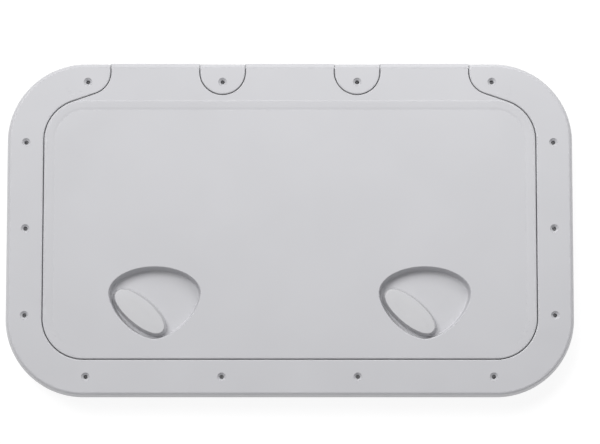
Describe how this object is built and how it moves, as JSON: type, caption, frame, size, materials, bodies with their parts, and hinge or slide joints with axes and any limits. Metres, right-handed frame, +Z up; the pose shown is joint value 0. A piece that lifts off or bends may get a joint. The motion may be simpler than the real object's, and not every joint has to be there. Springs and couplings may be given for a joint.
{
  "type": "deck hatch",
  "caption": "Rectangular boat deck hatch: flanged gutter frame, rear-hinged flush lid with seal, and two recessed quarter-turn latches.",
  "frame": {"origin": "centre of the fixing-hole pattern, on the deck plane under the flange", "axes": "+X along the hatch's width, +Y towards the hinge, +Z up out of the deck"},
  "size_m": [0.6, 0.355, 0.036],
  "materials": {
    "frame_asa": "moulded white ASA, satin",
    "lid_asa": "moulded white ASA, fine non-slip texture",
    "lever_asa": "moulded white ASA, smooth",
    "epdm_rubber": "matt black foam rubber",
    "stainless_steel": "drawn or pressed, lightly brushed",
    "brass": "turned",
    "nylon": "natural nylon"
  },
  "bodies": {
    "frame": {"frame": "frame_asa", "hinge_pin_far_left": "stainless_steel", "hinge_pin_mid_left": "stainless_steel", "hinge_pin_mid_right": "stainless_steel", "hinge_pin_far_right": "stainless_steel"},
    "lid": {"lid": "lid_asa", "lid_seal": "epdm_rubber", "latch_oring_left": "epdm_rubber", "latch_oring_right": "epdm_rubber"},
    "latch_left": {"latch_lever_left": "lever_asa", "latch_insert_left": "brass", "latch_thrust_washer_left": "nylon", "latch_tongue_left": "stainless_steel", "latch_washer_left": "stainless_steel", "latch_screw_left": "stainless_steel"},
    "latch_right": {"latch_lever_right": "lever_asa", "latch_insert_right": "brass", "latch_thrust_washer_right": "nylon", "latch_tongue_right": "stainless_steel", "latch_washer_right": "stainless_steel", "latch_screw_right": "stainless_steel"}
  },
  "joints": [
    {"name": "lid_hinge", "type": "hinge", "parent": "frame", "child": "lid", "pos_m": [0, 0.172, 0.007], "axis": [-1, 0, 0], "range_deg": [0, 180]},
    {"name": "latch_turn_left", "type": "hinge", "parent": "lid", "child": "latch_left", "pos_m": [-0.1423, -0.0995, 0], "axis": [0, 0, 1], "range_deg": [-90, 0]},
    {"name": "latch_turn_right", "type": "hinge", "parent": "lid", "child": "latch_right", "pos_m": [0.1423, -0.0995, 0], "axis": [0, 0, 1], "range_deg": [-90, 0]}
  ]
}
